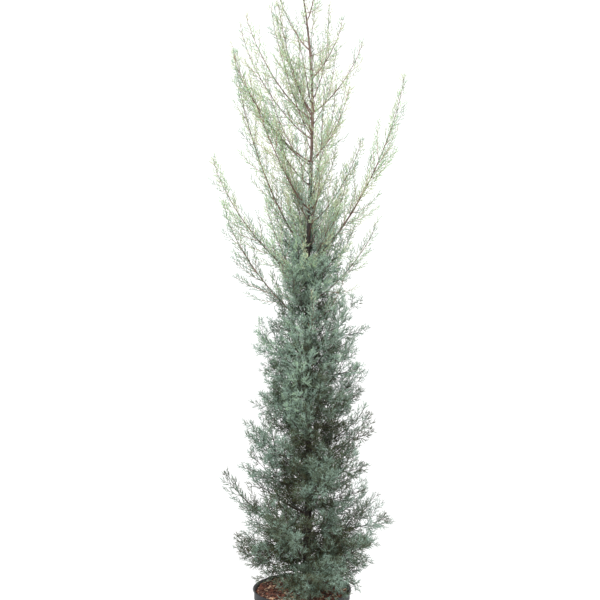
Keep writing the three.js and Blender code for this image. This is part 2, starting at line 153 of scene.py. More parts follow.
def skin_faces(count, rings, sides):
    """Triangles of count bodies: a fan at the near pole, two per place between rings, a far fan."""
    j = np.arange(sides)
    k = (j + 1) % sides
    far = 1 + rings * sides
    near_fan = np.stack((0 * j, 1 + k, 1 + j), -1)
    far_fan = np.stack((0 * j + far, far - sides + j, far - sides + k), -1)
    foot = 1 + sides * np.arange(rings - 1)[:, None]
    a, b = foot + j, foot + k
    c, d = b + sides, a + sides
    walls = np.concatenate((np.stack((a, b, c), -1), np.stack((a, c, d), -1))).reshape(-1, 3)
    one = np.concatenate((near_fan, walls, far_fan))
    return (one + (far + 1) * np.arange(count)[:, None, None]).reshape(-1, 3)


def spokes(heading, side, sides):
    """Ring directions at even angles a, square to a heading: cos(a) across + sin(a) beside."""
    across = square_to(heading, side)
    beside = np.cross(heading, across)
    angle = 2 * np.pi * np.arange(sides) / sides
    cos, sin = np.cos(angle)[:, None], np.sin(angle)[:, None]
    return cos * across[..., None, :] + sin * beside[..., None, :]


def spindles(paths, radii, sides):
    """Closed bodies along paths: the ends are poles, and each place between carries a ring."""
    count, places = paths.shape[:2]
    heading = unit(paths[:, 2:] - paths[:, :-2])
    side = far_axis(unit(paths[:, -1] - paths[:, 0]))[:, None]
    if radii.ndim == 2:
        radii = radii[:, :, None]
    spoke = spokes(heading, np.broadcast_to(side, heading.shape), sides)
    ring = (paths[:, 1:-1, None] + spoke * radii[..., None]).reshape(count, -1, 3)
    points = np.concatenate((paths[:, :1], ring, paths[:, -1:]), axis=1).reshape(-1, 3)
    return points, skin_faces(count, places - 2, sides)


def spikes(roots, tips, radii):
    """Pointed bodies of four faces: a triangle square to the way from root to tip, and the tip."""
    heading = unit(tips - roots)
    spoke = spokes(heading, far_axis(heading), SPIKE_SIDES)
    foot = roots[:, None] + spoke * radii[:, None, None]
    points = np.concatenate((foot, tips[:, None]), axis=1)
    one = np.array(((0, 2, 1), (0, 1, 3), (1, 2, 3), (2, 0, 3)))
    faces = one + (SPIKE_SIDES + 1) * np.arange(len(roots))[:, None, None]
    return points.reshape(-1, 3), faces.reshape(-1, 3)


print("a body with three rings of four points has", len(skin_faces(1, 3, 4)), "triangles")

# %% [markdown]
# ## From arrays to pieces
# A mesh takes whole arrays at once with foreach_set. A mesh operator for each twig would take far
# longer. Every piece rides on the one body that a plant without joints has.

# %% Pieces
def piece(name, points, faces, finish, sharp_angle=None):
    """One object, at the origin, from arrays of points and triangles."""
    mesh = bpy.data.meshes.new(name)
    mesh.vertices.add(len(points))
    mesh.vertices.foreach_set("co", points.astype(np.float32).ravel())
    mesh.loops.add(faces.size)
    mesh.loops.foreach_set("vertex_index", faces.astype(np.int32).ravel())
    mesh.polygons.add(len(faces))
    mesh.polygons.foreach_set("loop_start", 3 * np.arange(len(faces), dtype=np.int32))
    mesh.polygons.foreach_set("use_smooth", np.ones(len(faces), dtype=bool))
    mesh.update(calc_edges=True)
    mesh.validate()
    if sharp_angle:
        mesh.set_sharp_from_angle(angle=np.radians(sharp_angle))
    mesh.materials.append(finish)
    made = bpy.data.objects.new(name, mesh)
    bpy.context.scene.collection.objects.link(made)
    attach(made, "root")
    print(name, len(faces), "triangles")
    return made


# %% [markdown]
# ## Finishes
# Every finish is a principled shader with noise in it, measured on Object coordinates so that the
# grain has a real size. A noise texture's scale counts waves per metre, so a grain of 4 mm is a
# scale of 1 / 0.004. A painted picture would need a file and unwrapping, and noise needs neither.

# %% Finish helpers
RAMP_STOPS = (0.3, 0.7)  # the noise that takes the dark colour, and the noise that takes the light
NOISE_DETAIL = 4.0
BUMP_STRENGTH = 0.6


def colour(hex_code):
    """An sRGB hex colour as linear light: ((c + 0.055) / 1.055)^2.4, or c / 12.92 in the darks."""
    parts = np.array([int(hex_code[i : i + 2], 16) / 255 for i in (1, 3, 5)])
    linear = np.where(parts > 0.04045, ((parts + 0.055) / 1.055) ** 2.4, parts / 12.92)
    return (*linear, 1.0)


def add(tree, kind, sockets):
    """Adds a node, and fills its sockets with values or links."""
    node = tree.nodes.new(kind)
    for name, value in sockets.items():
        if isinstance(value, bpy.types.NodeSocket):
            tree.links.new(value, node.inputs[name])
        else:
            node.inputs[name].default_value = value
    return node


def finish_of(name, dark, light, grain, roughness, relief, stretch=(1, 1, 1), gloss=None):
    """A finish whose colour, roughness and bump follow one noise of a grain size in metres.

    A stretch below one draws the grain out along that axis, and gloss holds constant sockets.
    """
    made = bpy.data.materials.new(name)
    made.use_nodes = True
    tree = made.node_tree
    tree.nodes.clear()
    place = add(tree, "ShaderNodeTexCoord", {}).outputs["Object"]
    drawn = add(tree, "ShaderNodeMapping", {"Vector": place, "Scale": stretch}).outputs["Vector"]
    sockets = {"Vector": drawn, "Scale": 1 / grain, "Detail": NOISE_DETAIL}
    value = add(tree, "ShaderNodeTexNoise", sockets).outputs["Fac"]
    tint = add(tree, "ShaderNodeValToRGB", {"Fac": value})
    for stop, position, hex_code in zip(tint.color_ramp.elements, RAMP_STOPS, (dark, light)):
        stop.position = position
        stop.color = colour(hex_code)
    sockets = {"Value": value, "To Min": roughness[0], "To Max": roughness[1]}
    rough = add(tree, "ShaderNodeMapRange", sockets)
    sockets = {"Height": value, "Distance": relief, "Strength": BUMP_STRENGTH}
    bump = add(tree, "ShaderNodeBump", sockets)
    shader = add(tree, "ShaderNodeBsdfPrincipled", {
        "Base Color": tint.outputs["Color"],
        "Roughness": rough.outputs["Result"],
        "Normal": bump.outputs["Normal"],
        **(gloss or {}),
    })
    add(tree, "ShaderNodeOutputMaterial", {"Surface": shader.outputs["BSDF"]})
    return made


print("a middle grey in linear light", np.round(colour("#808080")[:3], 3))

# %% [markdown]
# ## The pot
# Nursery pots are moulded from recycled polypropylene: a tapering wall, a stiffening collar, and a
# lip that is rolled outwards. The outline is a few straight stretches with arcs at the foot and at
# the lip, and it is spun round the middle. It follows the solid's outline, only with round edges.

# %% Pot outline
POT_HEIGHT = 270 * MM
POT_RIM_RADIUS = 150 * MM
POT_BASE_RADIUS = 116 * MM
POT_WALL = 2.6 * MM
POT_FLOOR = 4 * MM
POT_COLLAR_HEIGHT = 30 * MM
POT_COLLAR_STEP = 1.8 * MM
POT_LIP = 4 * MM
POT_LIP_ROLL = POT_LIP / 2
POT_LIP_COVE = 2.2 * POT_LIP  # how far under the rim the lip begins, with a hollow curve
POT_FOOT_BEVEL = 5 * MM
POT_WALL_RINGS = 24


def pot_wall(height):
    """The wall's outer radius: a straight taper from the base to the collar."""
    top = POT_RIM_RADIUS - POT_LIP - POT_COLLAR_STEP
    return blend(POT_BASE_RADIUS, top, height / POT_HEIGHT)


def arc(centre, radius, start, stop, steps):
    """Points on a circle in the outline's plane, between two angles in degrees."""
    angle = np.radians(np.linspace(start, stop, steps))
    return np.stack((centre[0] + radius * np.cos(angle), centre[1] + radius * np.sin(angle)), -1)


def pot_outline():
    """From the underside's middle, round the foot, up the wall, over the lip and down inside."""
    collar_foot = POT_HEIGHT - POT_COLLAR_HEIGHT
    collar = POT_RIM_RADIUS - POT_LIP
    foot_centre = (POT_BASE_RADIUS - POT_FOOT_BEVEL, POT_FOOT_BEVEL)
    step_centre = (collar - POT_COLLAR_STEP, collar_foot + POT_COLLAR_STEP)
    cove_centre = (collar + POT_LIP_ROLL, POT_HEIGHT - POT_LIP_COVE)
    lip_centre = (POT_RIM_RADIUS - POT_LIP_ROLL, POT_HEIGHT - POT_LIP_ROLL)
    foot = arc(foot_centre, POT_FOOT_BEVEL, -90, 0, 7)
    wall_height = np.linspace(2 * POT_FOOT_BEVEL, collar_foot - POT_COLLAR_STEP, POT_WALL_RINGS)
    wall = np.stack((pot_wall(wall_height), wall_height), -1)
    step = arc(step_centre, POT_COLLAR_STEP, -70, 0, 6)
    cove = arc(cove_centre, POT_LIP_ROLL, 180, 100, 6)
    lip = arc(lip_centre, POT_LIP_ROLL, -80, 130, 16)
    inner_height = np.linspace(POT_HEIGHT - 2 * POT_LIP, POT_FLOOR, POT_WALL_RINGS)
    inner = np.stack((pot_wall(inner_height) - POT_WALL, inner_height), -1)
    return np.concatenate(([(0, 0)], foot, wall, step, cove, lip, inner, [(0, POT_FLOOR)]))


print("the pot's outline has", len(pot_outline()), "points")

# %% [markdown]
# Recycled polypropylene is almost black, with a satin gloss that picks up the light along the lip,
# and it is dulled by a film of dust and dried water.

# %% Pot finish and piece
POT_SEGMENTS = 160
POT_SHARP_ANGLE = 40  # degrees; steeper edges stay crisp


def spun(outline, segments):
    """The outline's (radius, height) points spun round the middle, closed at two poles on it."""
    angle = 2 * np.pi * np.arange(segments) / segments
    radius, height = outline[1:-1, 0], outline[1:-1, 1]
    level = np.broadcast_to(height[:, None], (len(radius), segments))
    ring = np.stack((radius[:, None] * np.cos(angle), radius[:, None] * np.sin(angle), level), -1)
    near, far = (0, 0, outline[0, 1]), (0, 0, outline[-1, 1])
    points = np.concatenate(([near], ring.reshape(-1, 3), [far]))
    return points, skin_faces(1, len(radius), segments)


# Recycled polypropylene with a little dust: the grain is the dust's.
moulded_polypropylene = finish_of(
    "moulded_polypropylene", "#121315", "#1f2124", 7 * MM, (0.45, 0.62), 0.12 * MM,
    gloss={"IOR": 1.49, "Specular IOR Level": 0.35},
)
pot_skin = spun(pot_outline(), POT_SEGMENTS)
pot = piece("nursery_pot", *pot_skin, moulded_polypropylene, POT_SHARP_ANGLE)
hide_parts("pot")

# %% [markdown]
# ## The soil and its mulch
# The pot is filled with potting mix under a layer of bark chips, red-brown with a few pale ones.
# The bed is the solid's outline with noise for lumps on its top.

# %% Soil bed
SOIL_TOP = POT_HEIGHT - 22 * MM
SOIL_DIP = 6 * MM
SOIL_FLAT_RADIUS = 55 * MM
SOIL_CLEARANCE = 0.3 * MM  # from the pot
SOIL_RINGS = 60
SOIL_LUMP = 9 * MM  # width of a lump
SOIL_LUMP_HEIGHT = 3.5 * MM
FINER_LUMPS = 2.3  # a second noise is this many times finer, and half as high
NO_REPEAT = 4096  # lumps, far more than lie on the bed
TWO_NOISES_MEAN = 0.75  # of one noise plus half of another
SOIL_EDGE = pot_wall(SOIL_TOP) - POT_WALL - SOIL_CLEARANCE


def soil_level(radius):
    """Level in the middle, then sinking to the wall by the square of the way there."""
    out = np.clip((radius - SOIL_FLAT_RADIUS) / (SOIL_EDGE - SOIL_FLAT_RADIUS), 0, 1)
    return SOIL_TOP - SOIL_DIP * out**2


def soil_lumps(angle, radius):
    """Height of the lumps: two noises on the flat plane of the bed, about a mean of nothing."""
    x, y = radius * np.cos(angle) / SOIL_LUMP, radius * np.sin(angle) / SOIL_LUMP
    finer = lattice_noise(FINER_LUMPS * x, FINER_LUMPS * y, NO_REPEAT)
    return SOIL_LUMP_HEIGHT * (lattice_noise(x, y, NO_REPEAT) + 0.5 * finer - TWO_NOISES_MEAN)


top_radius = np.linspace(SOIL_EDGE, 0, SOIL_RINGS)[:-1]
bed_top = np.stack((top_radius, soil_level(top_radius)), -1)
bed_floor = POT_FLOOR + SOIL_CLEARANCE
bed_foot = (pot_wall(bed_floor) - POT_WALL - SOIL_CLEARANCE, bed_floor)
bed_outline = np.concatenate(([(0, bed_floor)], [bed_foot], bed_top, [(0, SOIL_TOP)]))
bed_points, bed_faces = spun(bed_outline, POT_SEGMENTS)
on_top = bed_points[:, 2] > SOIL_TOP - 2 * SOIL_DIP
bed_angle = np.arctan2(bed_points[:, 1], bed_points[:, 0])
bed_radius = np.hypot(bed_points[:, 0], bed_points[:, 1])
bed_points[:, 2] += np.where(on_top, soil_lumps(bed_angle, bed_radius), 0)

# Peat and composted bark: dark red-brown crumbs, quite dull.
potting_mix = finish_of("potting_mix", "#24150e", "#4d2e20", 3 * MM, (0.85, 1.0), 1.2 * MM)
soil = piece("potting_soil", bed_points, bed_faces, potting_mix)
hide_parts("soil")

# %% [markdown]
# The chips are flat five-sided pieces with uneven corners. They could be dropped in a physics
# simulation, but that takes time and is hard to repeat. A sunflower spiral leaves no gaps and no
# rows, and draws give each chip its height in the layer, its slope and its size.

# %% Bark chips in place
CHIP_COUNT = 3400
CHIP_WALL_GAP = 4 * MM
CHIP_LAYER = (6 * MM, 17 * MM)  # the mulch's underside and top, over the soil's flat middle
CHIP_LENGTHS = (5 * MM, 17 * MM)
CHIP_SLIMNESS = (0.35, 0.75)  # width as a share of the length
CHIP_THICKNESS = (1.2 * MM, 3.4 * MM)
CHIP_LIFT = 0.35  # of its thickness
CHIP_TILT = 0.45  # the steepest slope that a chip lies at

chip = np.arange(CHIP_COUNT)
chip_radius = (SOIL_EDGE - CHIP_WALL_GAP) * np.sqrt((chip + 0.5) / CHIP_COUNT)
chip_angle = GOLDEN_ANGLE * chip
chip_length = blend(*CHIP_LENGTHS, draw(chip, 31) ** 2)
chip_width = chip_length * deal(CHIP_COUNT, 32, *CHIP_SLIMNESS)
chip_thick = deal(CHIP_COUNT, 33, *CHIP_THICKNESS)
chip_lie = deal(CHIP_COUNT, 34, 0, 2 * np.pi)
cos_lie, sin_lie = np.cos(chip_lie), np.sin(chip_lie)
chip_along = unit(np.stack((cos_lie, sin_lie, CHIP_TILT * deal(CHIP_COUNT, 35, -1, 1)), -1))
chip_lean = np.stack((-sin_lie, cos_lie, CHIP_TILT * deal(CHIP_COUNT, 36, -1, 1)), -1)
chip_beside = square_to(chip_along, chip_lean)
chip_upright = np.cross(chip_along, chip_beside)
chip_bed = SOIL_TOP + soil_lumps(chip_angle, chip_radius)
chip_level = chip_bed + blend(*CHIP_LAYER, np.sqrt(draw(chip, 39)))
chip_x, chip_y = chip_radius * np.cos(chip_angle), chip_radius * np.sin(chip_angle)
chip_place = np.stack((chip_x, chip_y, chip_level), -1)
chip_place = chip_place + chip_upright * (CHIP_LIFT * chip_thick)[:, None]
print(CHIP_COUNT, "chips of", round(chip_length.mean() / MM, 1), "mm on average")

# %% Bark chip pieces
CHIP_CORNERS = 5
CHIP_UNEVENNESS = (0.7, 1.15)  # how far out a corner stands
CHIP_SHARP_ANGLE = 30  # degrees
# Pine bark chips: corky and dull, from wine red to fox brown, and pale where the wood shows.
CHIP_TINTS = {
    "dark": ("#2b1811", "#4a2b20", 0.45),
    "red": ("#4d281c", "#7d4a35", 0.42),
    "pale": ("#8a6a50", "#c2a487", 0.13),
}


def chip_reach(size, direction):
    """Each chip's direction times the sizes at its two layers of corners."""
    return size[..., None] * direction[:, None, None]


corner = 2 * np.pi * np.arange(CHIP_CORNERS) / CHIP_CORNERS
layer = np.array((-0.5, 0.5))
jut = deal(CHIP_COUNT * 2 * CHIP_CORNERS, 37, *CHIP_UNEVENNESS)
jut = jut.reshape(CHIP_COUNT, 2, CHIP_CORNERS)
chip_ring = (
    chip_place[:, None, None]
    + chip_reach(jut * np.cos(corner) * chip_length[:, None, None] / 2, chip_along)
    + chip_reach(jut * np.sin(corner) * chip_width[:, None, None] / 2, chip_beside)
    + chip_reach(layer[:, None] * chip_thick[:, None, None], chip_upright)
).reshape(CHIP_COUNT, -1, 3)
chip_poles = chip_place[:, None] + layer[:, None] * (chip_thick[:, None] * chip_upright)[:, None]
chip_points = np.concatenate((chip_poles[:, :1], chip_ring, chip_poles[:, 1:]), axis=1)
chip_draw = draw(chip, 38)
chip_from = 0.0
for tint, (dark, light, share) in CHIP_TINTS.items():
    chosen = (chip_draw >= chip_from) & (chip_draw < chip_from + share)
    chip_from += share
    finish = finish_of(f"bark_chip_{tint}", dark, light, 2.5 * MM, (0.75, 0.95), 0.4 * MM)
    points = chip_points[chosen].reshape(-1, 3)
    faces = skin_faces(chosen.sum(), 2, CHIP_CORNERS)
    chips = piece(f"mulch_{tint}", points, faces, finish, CHIP_SHARP_ANGLE)

# %% [markdown]
# ## The trunk
# The stem stands a little off the pot's middle, leans slightly to the right, sways, and nods over
# to the left near its leader. A bevelled curve object could draw it, but a formula gives any place
# on it to the limbs as well, and it is the formula of the solid.

# %% Trunk rule
TRUNK_LENGTH = 2010 * MM
TRUNK_BASE_RADIUS = 12.5 * MM
TRUNK_TIP_RADIUS = 1.4 * MM
TRUNK_TAPER = 1.05
TRUNK_FLARE = 0.55
TRUNK_FLARE_HEIGHT = 26 * MM
TRUNK_ROOT_X = 11 * MM
TRUNK_LEAN = 24 * MM
TRUNK_SWAY = 5 * MM
TRUNK_SWAY_TURNS = 1.6
TRUNK_DEPTH_SWAY = 0.7
TRUNK_NOD = 62 * MM
TRUNK_NOD_START = 0.7


def trunk_share(height):
    """The share of the trunk's length that lies below a height."""
    return (height - SOIL_TOP) / TRUNK_LENGTH


def trunk_point(share):
    """A straight lean, plus a slow sine each way, less the nod's square past its start."""
    turn = 2 * np.pi * TRUNK_SWAY_TURNS * share
    nod = np.clip((share - TRUNK_NOD_START) / (1 - TRUNK_NOD_START), 0, None)
    x = TRUNK_ROOT_X + TRUNK_LEAN * share + TRUNK_SWAY * np.sin(turn) - TRUNK_NOD * nod**2
    y = TRUNK_SWAY * np.sin(TRUNK_DEPTH_SWAY * turn)
    return np.stack((x, y, SOIL_TOP + TRUNK_LENGTH * share), -1)


def trunk_radius(share):
    """Base to tip by a power of what is left of the trunk, times the flare at the soil."""
    taper = np.clip(1 - share, 0, 1) ** TRUNK_TAPER
    flare = TRUNK_FLARE * np.exp(-share * TRUNK_LENGTH / TRUNK_FLARE_HEIGHT)
    return blend(TRUNK_TIP_RADIUS, TRUNK_BASE_RADIUS, taper) * (1 + flare)


print("trunk tip", np.round(trunk_point(np.array(1.0)), 3))

# %% [markdown]
# ## The limbs
# Twelve long boughs draw the outline that the photograph shows. Thirty-one more limbs fill the
# plant in a spiral of golden angles, as many plants set their shoots, and the leader goes on from
# the tip of the trunk. These are the limbs of the solids, so they follow the same numbers.

# %% Limbs of the solids
# Height on the trunk, azimuth in degrees, and reach and rise of the tip, in millimetres.
LEADING_BOUGHS = np.array([
    (425, 176, 252, 185),
    (430, 352, 232, 60),
    (1080, 168, 262, 366),
    (1140, 8, 212, 246),
    (1205, 189, 288, 366),
    (1258, 352, 292, 556),
    (1290, 174, 230, 620),
    (1380, 22, 172, 265),
    (1425, 205, 190, 390),
    (1570, 178, 236, 326),
    (1700, 192, 205, 305),
    (1722, 355, 152, 212),
]) * (MM, 1, MM, MM)
LEADER = (SOIL_TOP + TRUNK_LENGTH, 196, 34 * MM, 118 * MM)
FILL_COUNT = 31
FILL_HEIGHTS = (290 * MM, 2090 * MM)
FILL_CROWDING = 1.5
FILL_FIRST_AZIMUTH = 273
FILL_SIZES = (0.9, 1.1)
REACH_LOW = 206 * MM
REACH_WAIST = 148 * MM
WAIST_SHARE = 0.42
FADE_START, FADE_CURVE = 5, 0.8  # powers that fade the reach towards the leader
CLIMB_LOW, CLIMB_GAIN, CLIMB_CURVE = 8, 60, 0.45  # two in degrees, and a power


def spiral(count, heights, crowding, first_azimuth, size, steeper):
    """Limbs in a spiral, with reach and climb by their share u of the way up the trunk.

    The reach narrows to the waist and fades by (1 - u^5)^0.8. The climb is 8 + 60 u^0.45 degrees.
    """
    step = np.arange(count)
    height = blend(*heights, (step / (count - 1)) ** crowding)
    up = trunk_share(height)
    fade = (1 - up**FADE_START) ** FADE_CURVE
    reach = blend(REACH_LOW, REACH_WAIST, ease(up / WAIST_SHARE)) * fade * size
    azimuth = (first_azimuth + np.degrees(GOLDEN_ANGLE) * step) % 360
    rise = reach * np.tan(np.radians(CLIMB_LOW + CLIMB_GAIN * up**CLIMB_CURVE + steeper))
    return np.stack((height, azimuth, reach, rise), -1)


fill_size = blend(*FILL_SIZES, draw(np.arange(FILL_COUNT) + 0.5, 7))
fill_limbs = spiral(FILL_COUNT, FILL_HEIGHTS, FILL_CROWDING, FILL_FIRST_AZIMUTH, fill_size, 0)
framed_limbs = np.concatenate((LEADING_BOUGHS, fill_limbs, [LEADER]))
print(len(framed_limbs), "limbs that the solids have")

# %% [markdown]
# The real plant has many thinner limbs between those. Two families grow here on the same spiral,
# within the same reach: thin limbs, and short inner ones that close the column round the trunk. Low
# down they crowd into tiers, and on the left of the waist they are shorter.

# %% Finer limbs on the spiral
# Count, heights on the trunk, crowding, first azimuth, sizes, and degrees added to the climb at the
# soil and from a little above it.
FAMILIES = {
    "thin": (70, (300 * MM, 1330 * MM), 1.1, 20, (0.6, 1.0), (-14, 6)),
    "inner": (50, (320 * MM, 1470 * MM), 1.05, 200, (0.36, 0.58), (-8, 12)),
}
FIRST_FAMILY_DRAW = 8
DROOP_SHARE = 0.12  # of the trunk, over which the lowest limbs droop
TIER = 214 * MM  # from one tier to the next
TIER_GAP = 250 * MM  # height of the lowest gap
TIER_SHIFT = 34 * MM
TIER_FADE = (600 * MM, 820 * MM)
THIN_SIDE = 0.5  # how much shorter the limbs are on the left of the waist
THIN_SIDE_HEIGHT = 1120 * MM
THIN_SIDE_SPAN = 170 * MM

families = []
for order, (count, heights, crowding, azimuth, sizes, climbs) in enumerate(FAMILIES.values()):
    family_up = trunk_share(blend(*heights, (np.arange(count) / (count - 1)) ** crowding))
    climb = blend(*climbs, ease(family_up / DROOP_SHARE))
    size = deal(count, FIRST_FAMILY_DRAW + order, *sizes)
    family = spiral(count, heights, crowding, azimuth, size, climb)
    tier_turn = 2 * np.pi * (family[:, 0] - TIER_GAP) / TIER
    tier_fade = 1 - ease_between(family[:, 0], *TIER_FADE)
    family[:, 0] += TIER_SHIFT * np.sin(tier_turn) * tier_fade
    leftward = np.clip(-np.cos(np.radians(family[:, 1])), 0, 1)
    waist = np.exp(-(((family[:, 0] - THIN_SIDE_HEIGHT) / THIN_SIDE_SPAN) ** 2))
    family[:, 2:] *= (1 - THIN_SIDE * leftward * waist)[:, None]
    families.append(family)
print({name: len(family) for name, family in zip(FAMILIES, families)})

# %% [markdown]
# A spiral is even, and a plant isn't. Fans of limbs make it fuller in some places: feathers in the
# crown and short laterals up to the tip, limbs behind and in front, the column's breast and flanks,
# and tiers, tufts and skirts that lie over the pot. In front, at two heights, limbs that would hide
# the trunk grow at the back instead.

# %% Fans of limbs
# Count, heights on the trunk, azimuths, reaches and climbs, each from the first limb to the last.
FANS = {
    "crown": (10, (1450, 1800), (287, 287 + 9 * GOLDEN_DEGREES), (165, 85), (62, 73)),
    "left_tip": (2, (1560, 1640), (186, 172), (218, 205), (56, 58)),
    "plume": (2, (1650, 1710), (196, 176), (114, 98), (72, 74)),
    "front": (2, (1400, 1630), (246, 282), (75, 52), (70, 75)),
    "stubs": (10, (1850, 2245), (200, 200 + 9 * GOLDEN_DEGREES), (60, 34), (24, 42)),
    "tip": (12, (2066, 2258), (60, 60 + 11 * GOLDEN_DEGREES), (76, 38), (42, 60)),
    "back": (5, (1140, 1390), (68, 134), (165, 138), (60, 66)),
    "fore": (2, (1150, 1260), (226, 322), (150, 135), (60, 62)),
    "breast": (8, (430, 1180), (294, 250), (112, 90), (36, 54)),
    "flank": (5, (735, 915), (206, 154), (120, 146), (28, 36)),
    "right_flank": (6, (530, 780), (-14, 22), (150, 124), (17, 34)),
    "left_tier": (4, (368, 470), (190, 164), (165, 200), (3, 14)),
    "right_tier": (2, (408, 432), (-20, 14), (148, 160), (9, 13)),
    "tufts": (5, (325, 345), (208, -14), (132, 165), (-3, 0)),
    "skirt": (6, (300, 340), (248, 298), (160, 185), (-4, 3)),
    "right_skirt": (4, (316, 340), (-52, 4), (160, 142), (-6, -1)),
}
FAN_SIZES = (0.75, 1.15)
PARTING = (252, 308)  # azimuths in front that stay open at these heights
PARTING_HEIGHTS = ((1190 * MM, 1420 * MM), (1640 * MM, 1800 * MM))

fans = []
for count, heights, azimuths, reaches, climbs in FANS.values():
    way = np.arange(count) / (count - 1)
    reach = blend(*reaches, way) * deal(count, 6, *FAN_SIZES) * MM
    rise = reach * np.tan(np.radians(blend(*climbs, way)))
    fans.append(np.stack((blend(*heights, way) * MM, blend(*azimuths, way), reach, rise), -1))
finer_limbs = np.concatenate(families + fans)
facing = finer_limbs[:, 1] % 360
in_front = (facing > PARTING[0]) & (facing < PARTING[1])
for bottom, top in PARTING_HEIGHTS:
    parted = in_front & (finer_limbs[:, 0] > bottom) & (finer_limbs[:, 0] < top)
    finer_limbs[parted, 1] *= -1
limbs = np.concatenate((framed_limbs, finer_limbs))
print(len(finer_limbs), "finer limbs,", len(limbs), "in all")

# %% [markdown]
# A limb first runs outwards and then turns up, and it sways a little to the side. Its foot is
# thicker the longer it is, but never thicker than the trunk allows.

# %% Limb curves
LIMB_OUT = 1.35
LIMB_UP = 1.25
LIMB_SWAY = 0.035  # of the way from foot to tip
LIMB_SWAY_TURN = 5  # radians from foot to tip
HEADING_STEP = 0.01  # share of the limb
LENGTH_STATIONS = 60
FOOT_START = 1.1 * MM
FOOT_GAIN = 0.005  # of the limb's length
FOOT_LIMIT = 0.8  # of the trunk's radius
FINER_GIRTH = 0.7  # the finer limbs are slimmer for their length

limb_height, limb_azimuth, limb_reach, limb_rise = limbs.T
limb_seed = np.arange(len(limbs)) + 1
limb_turn = np.radians(limb_azimuth)
limb_out = np.stack((np.cos(limb_turn), np.sin(limb_turn), 0 * limb_turn), -1)
limb_side = np.stack((-np.sin(limb_turn), np.cos(limb_turn), 0 * limb_turn), -1)
limb_root = trunk_point(trunk_share(limb_height))
limb_sway = LIMB_SWAY * np.hypot(limb_reach, limb_rise)
limb_phase = 2 * np.pi * draw(limb_seed, 1)


def limb_point(which, share):
    """Out by reach (1 - (1 - s)^1.35), up by rise s^1.25, and aside by a sine that grows with s."""
    out = limb_reach[which] * (1 - (1 - share) ** LIMB_OUT)
    aside = limb_sway[which] * share * np.sin(LIMB_SWAY_TURN * share + limb_phase[which])
    rise = limb_rise[which] * share**LIMB_UP
    return (
        limb_root[which]
        + out[..., None] * limb_out[which]
        + aside[..., None] * limb_side[which]
        + rise[..., None] * UP
    )


def limb_heading(which, share):
    """The direction between two places close before and behind."""
    ahead = limb_point(which, np.minimum(share + HEADING_STEP, 1))
    behind = limb_point(which, np.maximum(share - HEADING_STEP, 0))
    return unit(ahead - behind)


every_limb = np.arange(len(limbs))[:, None]
walk = limb_point(every_limb, np.linspace(0, 1, LENGTH_STATIONS)[None])
limb_length = np.linalg.norm(np.diff(walk, axis=1), axis=-1).sum(-1)
foot_limit = FOOT_LIMIT * trunk_radius(trunk_share(limb_height))
limb_foot_radius = np.minimum(FOOT_START + FOOT_GAIN * limb_length, foot_limit)
limb_foot_radius[len(framed_limbs) :] *= FINER_GIRTH
print("total length of the limbs", round(limb_length.sum(), 2), "m")

# %% [markdown]
# Low limbs, and short ones close to the trunk, make the dense column. Higher ones make the open
# crown, which is sparse round the leader. A few low ones stand free, with sky between their sprays.

# %% Kinds of limb
DENSE_TOP = 1180 * MM  # limbs whose tips stay lower carry dense plumes
CORE_TOP = 1430 * MM  # the same for short limbs close to the trunk
CORE_REACH = 115 * MM
SPARSE_FOOT = 1430 * MM  # limbs that spring from higher up carry sparse plumes
OPEN_LIMBS = [1, 19, 20, 24]  # by their number, from 1

limb_dense = limb_height + limb_rise < np.where(limb_reach < CORE_REACH, CORE_TOP, DENSE_TOP)
limb_kind = np.where(limb_dense, "column", np.where(limb_height < SPARSE_FOOT, "crown", "top"))
limb_kind = np.where(np.isin(limb_seed, OPEN_LIMBS), "open", limb_kind)
print({str(kind): int(np.sum(limb_kind == kind)) for kind in np.unique(limb_kind)})

# %% [markdown]
# ## Bark
# Cypress bark is thin, with lengthwise fibres that lift in strips, and a collar of wood swells
# where every limb leaves. The fibres are noise stretched along the stem: a few millimetres wide and
# several centimetres long. A collar is a soft bump at the limb's height and azimuth. The trunk is
# one skin of many rings whose radius carries both, because real relief also breaks the outline.

# %% Trunk relief
TRUNK_SIDES = 40
TRUNK_RINGS = 760
RING_CROWDING = 1.05  # rings stand a little closer near the soil
ROOT_LOBES = 5
ROOT_LOBE_DEPTH = 0.14
FIBRES_ROUND = 17  # strips of bark round the stem
FIBRE_LENGTH = 34 * MM
FINER_ROUND, FINER_LONG = 2, 3.1  # a second noise is this many times finer, and half as deep
FIBRE_DEPTH = 0.085  # as a share of the radius
COLLAR_HEIGHT = 9 * MM
COLLAR_WIDTH = 0.55  # radians
COLLAR_SWELL = 0.3  # of the limb's own radius

ring_share = np.linspace(0, 1, TRUNK_RINGS) ** RING_CROWDING
ring_angle = 2 * np.pi * np.arange(TRUNK_SIDES) / TRUNK_SIDES
ring_centre = trunk_point(ring_share)
flare_fade = np.exp(-ring_share * TRUNK_LENGTH / TRUNK_FLARE_HEIGHT)
# The lobes turn with the azimuth, as on the solid.
lobe = 1 + ROOT_LOBE_DEPTH * flare_fade[:, None] * np.cos(ROOT_LOBES * ring_angle)
around = FIBRES_ROUND * ring_angle[None] / (2 * np.pi)
along_stem = ring_centre[:, None, 2] / FIBRE_LENGTH
fibre = lattice_noise(around, along_stem, FIBRES_ROUND)
finer_fibre = lattice_noise(
    FINER_ROUND * around, FINER_LONG * along_stem, FINER_ROUND * FIBRES_ROUND
)
fibre_relief = 1 + FIBRE_DEPTH * (fibre + 0.5 * finer_fibre - TWO_NOISES_MEAN)
swell = np.zeros_like(fibre_relief)
for height, turn, foot in zip(limb_height, limb_turn, limb_foot_radius):
    apart = np.angle(np.exp(1j * (ring_angle - turn)))
    level = (ring_centre[:, None, 2] - height) / COLLAR_HEIGHT
    swell += COLLAR_SWELL * foot * np.exp(-(level**2 + (apart / COLLAR_WIDTH) ** 2))
